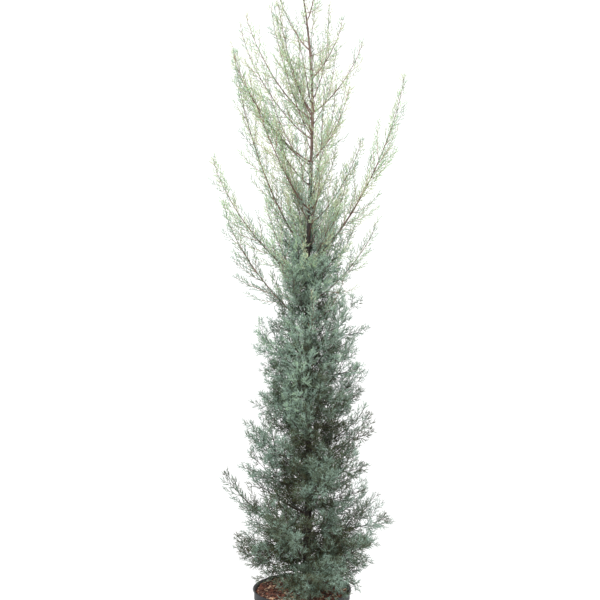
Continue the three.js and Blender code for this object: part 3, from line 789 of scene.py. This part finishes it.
trunk_skin = trunk_radius(ring_share)[:, None] * lobe * fibre_relief + swell
ring_spoke = np.stack((np.cos(ring_angle), np.sin(ring_angle), 0 * ring_angle), -1)
trunk_rings = ring_centre[:, None] + trunk_skin[..., None] * ring_spoke
ring_centre[-1] += TRUNK_TIP_RADIUS * UP  # the last pole makes a pointed tip
print("largest collar", round(swell.max() / MM, 2), "mm")

# %% Trunk pieces
LEADER_RING = 490  # the leader's bark starts here
# Thin cypress bark, brown on the leader of a year or two; lower, painted almost black as shade of
# the column.
TRUNK_BARKS_AND_SHADE = {
    "trunk": (0, LEADER_RING, "#120e0c", "#2d241f"),
    "leader": (LEADER_RING - 1, TRUNK_RINGS, "#392c26", "#66534a"),
}
STEM_STRETCH = (1, 1, 0.16)

for part, (first, last, dark, light) in TRUNK_BARKS_AND_SHADE.items():
    name = f"{part}_bark"
    bark = finish_of(name, dark, light, 4 * MM, (0.75, 0.95), 0.5 * MM, STEM_STRETCH)
    rings = trunk_rings[first:last].reshape(-1, 3)
    points = np.concatenate((ring_centre[first : first + 1], rings, ring_centre[last - 1 : last]))
    stem = piece(name, points, skin_faces(1, last - first, TRUNK_SIDES), bark)
    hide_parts("trunk")

# %% [markdown]
# The boughs have the same fibres on a smaller scale, and each swells at its foot. One array holds
# them all. Two pieces take those of the column, whose bark is painted darker for the shade there,
# and those of the crown.

# %% Boughs with bark relief
BOUGH_RINGS = 26
BOUGH_CROWDING = 1.1  # rings stand a little closer near the foot
BOUGH_SIDES = 7
BOUGH_TIP_RADIUS = 0.5 * MM
BOUGH_TAPER = 0.7
BOUGH_FIBRE_LENGTH = 22 * MM
BOUGH_FIBRE_DEPTH = 0.2
BOUGH_FIBRE_SHIFT = 37  # fibres from one bough to the next, so that none repeats another
BOUGH_FOOT_SWELL = 0.35
BOUGH_FOOT_LENGTH = 14 * MM
YOUNG_GRAIN = {"grain": 5 * MM, "relief": 0.2 * MM, "stretch": (1, 1, 0.3)}

station = np.linspace(0, 1, BOUGH_RINGS)[None] ** BOUGH_CROWDING
bough_share = np.concatenate(([[0.0]], station, [[1.0]]), axis=1)
bough_path = limb_point(every_limb, bough_share)
bough_way = station * limb_length[:, None]
foot_swell = BOUGH_FOOT_SWELL * np.exp(-bough_way / BOUGH_FOOT_LENGTH)
bough_radius = blend(limb_foot_radius[:, None], BOUGH_TIP_RADIUS, station**BOUGH_TAPER)
bough_radius = bough_radius * (1 + foot_swell)
fibre_place = bough_way / BOUGH_FIBRE_LENGTH + BOUGH_FIBRE_SHIFT * limb_seed[:, None]
bough_fibre = lattice_noise(np.arange(BOUGH_SIDES), fibre_place[..., None], BOUGH_SIDES)
bough_skin = bough_radius[..., None] * (1 + BOUGH_FIBRE_DEPTH * (bough_fibre - 0.5))

# Bark of the last years' growth: smooth and brown in the crown's light; low down it is painted dark
# and greyish, as shade of the dense column.
limb_barks_shade_and_light = {
    "column": finish_of(
        "shaded_young_bark", "#1f1814", "#40332a", roughness=(0.65, 0.9), **YOUNG_GRAIN
    ),
    "crown": finish_of(
        "sunlit_young_bark", "#3a2c25", "#6e5549", roughness=(0.6, 0.85), **YOUNG_GRAIN
    ),
}
bough_order = np.arange(1, len(LEADING_BOUGHS) + 1)
for part, bark in limb_barks_shade_and_light.items():
    chosen = limb_dense == (part == "column")
    skin = spindles(bough_path[chosen], bough_skin[chosen], BOUGH_SIDES)
    boughs = piece(f"boughs_{part}", *skin, bark)
    replaced = bough_order[chosen[: len(bough_order)]]
    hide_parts(*[f"bough_{order:02d}" for order in replaced])

# %% [markdown]
# ## Side branches, twigs, branchlets and shoots
# The rule of the solids goes on at a finer scale. Every child leaves its parent at an angle, rolled
# round it by the golden angle from one child to the next, bends on towards the parent's heading,
# and lifts towards the light. A limb carries side branches, these carry twigs, a twig carries
# branchlets, and a branchlet carries the short shoots that are clad in scale leaves. All curves of
# one level are worked out at once, as arrays of three control points.

# %% Curves of a level
BEND = 0.3  # a child's tip turns to its parent's heading by this share of its length


def curve_point(curves, share):
    """A quadratic curve: (1 - t)^2 root + 2 t (1 - t) middle + t^2 tip."""
    t = share[..., None]
    root, middle, tip = curves[..., 0, :], curves[..., 1, :], curves[..., 2, :]
    return (1 - t) ** 2 * root + 2 * t * (1 - t) * middle + t**2 * tip


def curve_heading(curves, share):
    """The same curve's direction: (1 - t) (middle - root) + t (tip - middle), at length one."""
    t = share[..., None]
    root, middle, tip = curves[..., 0, :], curves[..., 1, :], curves[..., 2, :]
    return unit((1 - t) * (middle - root) + t * (tip - middle))


def offshoots(root, stem, angle, roll, length, lift):
    """Curves from roots on stems: cos(angle) along the stem, sin(angle) off it, rolled round it."""
    across = square_to(stem, far_axis(stem))
    off = np.cos(roll)[:, None] * across + np.sin(roll)[:, None] * np.cross(stem, across)
    heading = np.cos(angle)[:, None] * stem + np.sin(angle)[:, None] * off
    size = length[:, None]
    middle = root + heading * size / 2
    tip = root + size * ((1 - BEND) * heading + BEND * stem + lift * UP)
    return np.stack((root, middle, tip), axis=1)


print("shares of the three points halfway", curve_point(np.eye(3), np.array(0.5)))

# %% Branching rule
ANGLE_SIZES = (0.8, 1.2)
ROLL_JITTER = 0.6  # radians
PLACE_JITTER = (0.15, 0.85)  # of the way from one child's place to the next
LIP_CLEARANCE = 3 * MM
TRUNK_CLEARANCE = 1.5 * MM


def numbered(counts):
    """The parent of each child, and the child's number on that parent."""
    parent = np.repeat(np.arange(len(counts)), counts)
    first = np.cumsum(counts) - counts
    return parent, np.arange(len(parent)) - first[parent]


def stays_clear(curves):
    """True where a curve's middle and tip stay above the pot's lip and outside the trunk."""
    ends = curve_point(curves[:, None], np.array([[0.5, 1.0]]))
    share = np.clip(trunk_share(ends[..., 2]), 0, 1)
    apart = np.linalg.norm((ends - trunk_point(share))[..., :2], axis=-1)
    above = ends[..., 2] > POT_HEIGHT + LIP_CLEARANCE
    return np.all(above & (apart > trunk_radius(share) + TRUNK_CLEARANCE), axis=-1)


def children(point, heading, parent_length, rule, number):
    """Grows one level: the curves, each one's parent, its length and its share of the way up.

    A child's length is a share of what is left of its parent, plus a start, up to the longest.
    """
    spacing, bare, fewest, part, start, longest, sizes, rarity, angles, lift = rule
    counts = np.round(parent_length * (1 - bare) / (spacing * MM))
    counts = np.maximum(fewest, counts).astype(int)
    parent, order = numbered(counts)
    count = len(parent)
    up = (order + deal(count, number, *PLACE_JITTER)) / counts[parent]
    share = blend(bare, 1.0, up)
    left = parent_length[parent] * (1 - share)
    length = np.minimum(part * left + start * MM, longest * MM)
    vigour = draw(np.arange(count), number + 1) ** rarity
    length = length * blend(*sizes, vigour)
    angle = np.radians(blend(*angles, up)) * deal(count, number + 2, *ANGLE_SIZES)
    roll = GOLDEN_ANGLE * order + 2 * np.pi * draw(parent, number + 3)
    roll = roll + deal(count, number + 4, -ROLL_JITTER, ROLL_JITTER)
    root, stem = point(parent, share), heading(parent, share)
    curves = offshoots(root, stem, angle, roll, length, lift)
    keep = stays_clear(curves)
    return curves[keep], parent[keep], length[keep], up[keep]


print("two parents with 2 and 3 children", *numbered(np.array((2, 3))))

# %% [markdown]
# Each kind of limb has its own plume. The column's many long side branches fill the space between
# the limbs, the crown's are feathers with the sky between them, and round the leader the feathers
# are slim, with single barbs.

# %% Plumes
# Each kind has a rule for its side branches, one for its twigs and one for its branchlets: the
# children's spacing, the parent's bare share, the fewest children, a child's part of what is left
# of its parent, its start and longest, its sizes and how rare large ones are, its angles at the
# parent's foot and tip, and its lift. Spacing, start and longest are in millimetres.
PLUMES = {
    "column": (
        (16, 0.08, 6, 0.8, 18, 115, (0.4, 1.15), 1.3, (68, 34), 0.08),
        (7.5, 0.06, 4, 0.42, 11, 44, (0.6, 1.1), 1.0, (64, 38), 0.06),
        (5, 0.06, 3, 0.45, 9, 24, (0.7, 1.15), 1.0, (52, 34), 0.05),
    ),
    "crown": (
        (10.5, 0.14, 6, 0.36, 14, 112, (0.35, 1.15), 1.1, (48, 32), 0.1),
        (5, 0.05, 4, 0.12, 14, 29, (0.6, 1.2), 1.0, (60, 36), 0.08),
        (2.4, 0.08, 5, 0.15, 5.2, 8, (0.7, 1.15), 1.0, (58, 38), 0.04),
    ),
    "top": (
        (13, 0.12, 6, 0.36, 14, 95, (0.3, 1.15), 1.1, (46, 30), 0.1),
        (6.2, 0.05, 3, 0.12, 14, 28, (0.6, 1.2), 1.0, (60, 36), 0.08),
        (2.4, 0.08, 5, 0.15, 5, 7.6, (0.7, 1.15), 1.0, (56, 36), 0.04),
    ),
    "open": (
        (11.5, 0.1, 6, 0.44, 18, 90, (0.35, 1.15), 1.1, (58, 34), 0.08),
        (5, 0.05, 4, 0.2, 14, 32, (0.6, 1.2), 1.0, (58, 34), 0.06),
        (2.6, 0.08, 5, 0.2, 6, 10, (0.7, 1.15), 1.0, (48, 30), 0.04),
    ),
}
KIND_DRAWS = 100  # the draws of one kind are numbered from its hundred
LEVEL_DRAWS = 10  # and those of each level from its ten


def on_curves(curves):
    """How children find their place and their stem's heading on parents that are curves."""
    point = lambda parent, share: curve_point(curves[parent], share)
    heading = lambda parent, share: curve_heading(curves[parent], share)
    return point, heading


def plume(kind, number):
    """All side branches, twigs and branchlets on the limbs of a kind, with their limb and spray."""
    which = np.flatnonzero(limb_kind == kind)
    point = lambda parent, share: limb_point(which[parent], share)
    heading = lambda parent, share: limb_heading(which[parent], share)
    length, levels = limb_length[which], []
    for rule in PLUMES[kind]:
        curves, parent, length, up = children(point, heading, length, rule, number)
        levels.append((curves, parent, length, up))
        point, heading = on_curves(curves)
        number += LEVEL_DRAWS
    (sides, side_limb, side_length, _), (twigs, twig_side, _, _), last = levels
    lets, let_twig, let_length, let_up = last
    twig_limb = which[side_limb[twig_side]]
    print(kind, len(sides), "side branches", len(twigs), "twigs", len(lets), "branchlets")
    return {
        "sides": sides, "side_length": side_length, "side_limb": which[side_limb],
        "twigs": twigs, "twig_limb": twig_limb, "twig_draw": draw(twig_side, number),
        "lets": lets, "let_length": let_length, "let_up": let_up,
        "let_limb": twig_limb[let_twig], "let_draw": draw(twig_side[let_twig], number),
    }


grown = [plume(kind, KIND_DRAWS * place) for place, kind in enumerate(PLUMES, start=1)]
growth = {key: np.concatenate([part[key] for part in grown]) for key in grown[0]}
sides, twigs, lets = growth["sides"], growth["twigs"], growth["lets"]
let_limb = growth["let_limb"]

# %% Shoots on the branchlets
# Only the column's branchlets are long enough to carry shoots.
SHOOT_SPACING = 5.5 * MM
FEWEST_SHOOTS = 2
SHOOT_SPAN = (0.08, 0.96)  # the part of the branchlet that carries shoots
SHOOT_ANGLES = (52, 34)  # at the branchlet's foot and tip
SHOOT_LENGTHS = (11 * MM, 7.5 * MM)  # at the branchlet's foot and tip
SHOOT_SIZES = (0.75, 1.2)
SHOOT_LIFT = 0.05

let_dense = limb_kind[let_limb] == "column"
shoot_counts = np.maximum(FEWEST_SHOOTS, np.round(growth["let_length"] / SHOOT_SPACING))
shoot_counts = np.where(let_dense, shoot_counts, 0).astype(int)
shoot_let, shoot_order = numbered(shoot_counts)
shoot_up = (shoot_order + 0.5) / shoot_counts[shoot_let]
shoot_share = blend(*SHOOT_SPAN, shoot_up)
shoot_length = blend(*SHOOT_LENGTHS, shoot_up) * deal(len(shoot_let), 61, *SHOOT_SIZES)
shoots = offshoots(
    curve_point(lets[shoot_let], shoot_share),
    curve_heading(lets[shoot_let], shoot_share),
    np.radians(blend(*SHOOT_ANGLES, shoot_up)),
    GOLDEN_ANGLE * shoot_order + 2 * np.pi * draw(shoot_let, 62),
    shoot_length,
    SHOOT_LIFT,
)
print(len(shoots), "shoots of", round(shoot_length.mean() / MM, 1), "mm on average")

# %% [markdown]
# ## Side branches of wood
# Side branches are woody. They are slim skins with few sides, and the green sprays hide their tips.

# %% Side branches
SIDE_STATIONS = np.array((0, 0, 0.25, 0.5, 0.75, 0.93, 1))
SIDE_RADII = (1.2 * MM, 0.35 * MM)
SIDE_FULL = 100 * MM  # shorter ones are thinner
SIDE_GIRTHS = (0.5, 1)
SIDE_SIDES = 4


def along(curves, stations):
    """Points of every curve at the same shares of its way."""
    return curve_point(curves[:, None], np.broadcast_to(stations, (len(curves), len(stations))))


# Low down the side branches take the boughs' shaded bark, painted shade of the column. In the crown
# the wood is last year's, between green and brown.
green_wood = finish_of("green_wood", "#6e4e3c", "#a07a63", roughness=(0.6, 0.85), **YOUNG_GRAIN)
side_barks = {"column": (limb_barks_shade_and_light["column"], 1.0), "crown": (green_wood, 0.8)}  # and a girth
side_girth = np.clip(growth["side_length"] / SIDE_FULL, *SIDE_GIRTHS)[:, None]
side_radius = blend(*SIDE_RADII, SIDE_STATIONS[None, 1:-1]) * side_girth
side_path = along(sides, SIDE_STATIONS)
for part, (bark, girth) in side_barks.items():
    chosen = limb_dense[growth["side_limb"]] == (part == "column")
    skin = spindles(side_path[chosen], girth * side_radius[chosen], SIDE_SIDES)
    side_wood = piece(f"side_branches_{part}", *skin, bark)

# %% [markdown]
# ## Sprays of scale leaves
# Arizona cypress is grown for its colour: a waxy bloom makes the older sprays blue-grey, and the
# young growth at the top is a lighter, yellower green. A spray takes one of five tints, from shade
# to young, by its height, by how deep in the plant it stands, and by draws for the limb, the spray
# and the branchlet. Deep inside, the darker tints are painted shade. Some sprays of the crown are a
# sixth, fresh green. Each tint is a piece of its own with its own finish, because a colour that has
# a place is best dealt out by spray.

# %% Tints
TINTS = {
    "shade": ("#2a2d0d", "#42471a"),
    "blue": ("#4a5c4a", "#637760"),
    "silver": ("#6d8677", "#8fa797"),
    "sage": ("#7a977c", "#9db69a"),
    "young": ("#a0ae85", "#c1c9a6"),
    "fresh": ("#83a576", "#a8c297"),
}
SAGE, YOUNG, FRESH = [list(TINTS).index(name) for name in ("sage", "young", "fresh")]
FRESH_SHARE = 0.2  # of the sage and young sprays of the crown
FRESH_RISE = 0.75  # of the way through the heights between which the tint changes
FRESH_SHUFFLE = 17  # makes a second draw from the digits of the first
TINT_LOW_TO_HIGH = (0.85, 3.3)  # the middle tint at the soil and at the top
TINT_RISE = (0.5, 1.6)  # metres of height between which the tint changes
TINT_SPREAD = (1.6, 2.4)  # between sprays, low and high on the tree
TINT_JITTER = (0.95, 0.6)  # between the branchlets of a spray, low and high on the tree
TINT_LIMB = (1.6, 0.9)  # between limbs, low and high on the tree
# Painted shade: sprays deep inside the plant take darker tints, less so near the top.
TINT_DEPTH = 1.6  # how much darker the inside is
TINT_DEPTH_FADE = 4  # a power: only near the top is the inside as light as the outside
TINT_DENSE = 0.4  # how much bluer the dense plumes are, high on the tree
TINT_CAP = (2.2, 4.4)  # the lightest tint at the soil and at the top
TINT_TIP = 0.35  # how much lighter the tip of a twig is
CROWN_RADIUS = 160 * MM


def tint_of(curves, limb, spray_draw, up):
    """The tint's number: a middle by height, spread by draws, and less where it is deep inside,
    which paints shade there.
    """
    place = curves[:, 0]
    axis = trunk_point(np.clip(trunk_share(place[:, 2]), 0, 1))
    out = np.linalg.norm((place - axis)[:, :2], axis=-1) / CROWN_RADIUS
    height = ease_between(place[:, 2], *TINT_RISE)
    value = blend(*TINT_LOW_TO_HIGH, height) + TINT_TIP * up
    value = value + blend(*TINT_SPREAD, height) * (spray_draw - 0.5)
    value = value + blend(*TINT_JITTER, height) * deal(len(curves), 72, -1, 1)
    value = value + blend(*TINT_LIMB, height) * (draw(limb, 73) - 0.5)
    value = value - TINT_DEPTH * np.clip(1 - out, 0, 1) * (1 - height**TINT_DEPTH_FADE)
    value = value - TINT_DENSE * height * limb_dense[limb]
    value = np.minimum(value, blend(*TINT_CAP, height))
    tint = np.clip(np.round(value), 0, YOUNG).astype(int)
    dealt = spray_draw * FRESH_SHUFFLE % 1 < FRESH_SHARE
    return np.where((tint >= SAGE) & (height > FRESH_RISE) & dealt, FRESH, tint)


let_tint = tint_of(lets, let_limb, growth["let_draw"], growth["let_up"])
twig_tint = tint_of(twigs, growth["twig_limb"], growth["twig_draw"], 0)
tint_counts = np.bincount(let_tint, minlength=len(TINTS))
print("branchlets by tint", dict(zip(TINTS, tint_counts.tolist())))

# %% [markdown]
# A scale leaf is a millimetre or two long. From here only the slim clad shoots can be seen, so a
# branchlet or a shoot is one pointed spike, a little thicker than life, and a twig is a slim
# three-sided skin. Flat cards with a picture of leaves would need transparency.

# %% Skins of the sprays
TWIG_SIDES = 3
TWIG_STATIONS = np.array((0, 0.4, 1))
TWIG_RADII = (0.75 * MM, 0.65 * MM)  # in the column and in the crown
LET_RADII = (0.95 * MM, 0.9 * MM)  # in the column and in the crown
SHOOT_RADIUS = 0.85 * MM
SHOOT_GIRTHS = (0.8, 1.2)

twig_path = along(twigs, TWIG_STATIONS)
twig_radius = np.where(limb_dense[growth["twig_limb"]], *TWIG_RADII)[:, None]
let_radius = np.where(let_dense, *LET_RADII)
shoot_radius = SHOOT_RADIUS * deal(len(shoots), 65, *SHOOT_GIRTHS)


def joined(*skins):
    """Several skins as one: the faces of each count on from the points before it."""
    starts = np.cumsum([0] + [len(points) for points, _ in skins])
    faces = [faces + start for (_, faces), start in zip(skins, starts)]
    return np.concatenate([points for points, _ in skins]), np.concatenate(faces)


def spray_skin(some_twigs, some_lets):
    """The skins of some twigs and branchlets, and of the shoots on those."""
    chosen = np.zeros(len(lets), dtype=bool)
    chosen[some_lets] = True
    on = chosen[shoot_let]
    return joined(
        spindles(twig_path[some_twigs], twig_radius[some_twigs], TWIG_SIDES),
        spikes(lets[some_lets, 0], lets[some_lets, 2], let_radius[some_lets]),
        spikes(shoots[on, 0], shoots[on, 2], shoot_radius[on]),
    )


let_triangles = (SPIKE_SIDES + 1) * (1 + shoot_counts)
print("triangles of the branchlets with their shoots", let_triangles.sum())

# %% Leaf pieces
PIECE_LIMIT = 190_000  # triangles
TWIG_TRIANGLES = 2 * TWIG_SIDES

for index, (tint, (dark, light)) in enumerate(TINTS.items()):
    # Scale leaves under a thin bloom of wax: dull, with a pale sheen at a glancing angle. Single
    # scales are too fine to show, so the grain is drawn coarser, at 9 mm.
    finish = finish_of(
        f"scale_leaf_{tint}", dark, light, 9 * MM, (0.5, 0.7), 0.1 * MM,
        gloss={"Sheen Weight": 0.08, "Sheen Roughness": 0.5},
    )
    tinted_lets = np.flatnonzero(let_tint == index)
    tinted_twigs = np.flatnonzero(twig_tint == index)
    total = let_triangles[tinted_lets].sum() + TWIG_TRIANGLES * len(tinted_twigs)
    parts = int(np.ceil(total / PIECE_LIMIT))
    splits = zip(np.array_split(tinted_twigs, parts), np.array_split(tinted_lets, parts))
    for part, (some_twigs, some_lets) in enumerate(splits, start=1):
        leaves = piece(f"leaves_{tint}_{part}", *spray_skin(some_twigs, some_lets), finish)
        carriers = np.unique(let_limb[some_lets])
        replaced = carriers[carriers < len(framed_limbs)]
        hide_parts(*[f"foliage_{limb + 1:02d}" for limb in replaced])

# %% [markdown]
# ## Floor and light
# The photograph is a cut-out on white. A wide pale floor and an even white sky give that, and two
# large soft lamps from the front and above give the sprays their shape.

# %% Floor
FLOOR_RADIUS = 30.0
FLOOR_DEPTH = 4 * MM
FLOOR_SEGMENTS = 64

floor_outline = [(0, -FLOOR_DEPTH), (FLOOR_RADIUS, -FLOOR_DEPTH), (FLOOR_RADIUS, 0), (0, 0)]
floor_points, floor_faces = spun(np.array(floor_outline), FLOOR_SEGMENTS)
# White studio paint, matt and almost without grain.
floor_finish = finish_of("matt_white_paint", "#f4f4f4", "#fafafa", 0.4, (0.85, 0.95), 0)
floor_mesh = bpy.data.meshes.new("studio_floor")
floor_mesh.from_pydata(floor_points.tolist(), [], floor_faces.tolist())
floor_mesh.materials.append(floor_finish)
floor = bpy.data.objects.new("studio_floor", floor_mesh)
bpy.context.scene.collection.objects.link(floor)
print("floor", 2 * FLOOR_RADIUS, "m wide")

# %% [markdown]
# The sky alone makes the floor white. With the lamps on it as well, the floor would be so bright
# that it outshines thin stems in front of it, so the lamps' light linking leaves the floor out.

# %% Light
SKY_STRENGTH = 1.22
LAMPS = {  # place and size in metres, power in watts
    "key": ((-1.6, -2.6, 4.2), 2.0, 275),
    "fill": ((2.6, -2.4, 2.6), 2.0, 58),
}
TARGET = (0, 0, 1.1)

world = bpy.data.worlds.new("white_sky")
world.use_nodes = True
sky = world.node_tree.nodes["Background"]
sky.inputs["Color"].default_value = (1, 1, 1, 1)
sky.inputs["Strength"].default_value = SKY_STRENGTH
bpy.context.scene.world = world
bpy.context.scene.view_settings.view_transform = "Standard"

unlit = bpy.data.collections.new("unlit_by_lamps")
unlit.objects.link(floor)
unlit.collection_objects[0].light_linking.link_state = "EXCLUDE"
for name, (place, size, power) in LAMPS.items():
    lamp = bpy.data.objects.new(f"lamp_{name}", bpy.data.lights.new(f"lamp_{name}", "AREA"))
    lamp.data.size = size
    lamp.data.energy = power
    lamp.location = place
    lamp.light_linking.receiver_collection = unlit
    aim = np.array(TARGET) - place
    flat = np.hypot(aim[0], aim[1])
    lamp.rotation_euler = (np.arctan2(flat, -aim[2]), 0, np.arctan2(aim[1], aim[0]) - np.pi / 2)
    bpy.context.scene.collection.objects.link(lamp)
print("lamps", list(LAMPS))
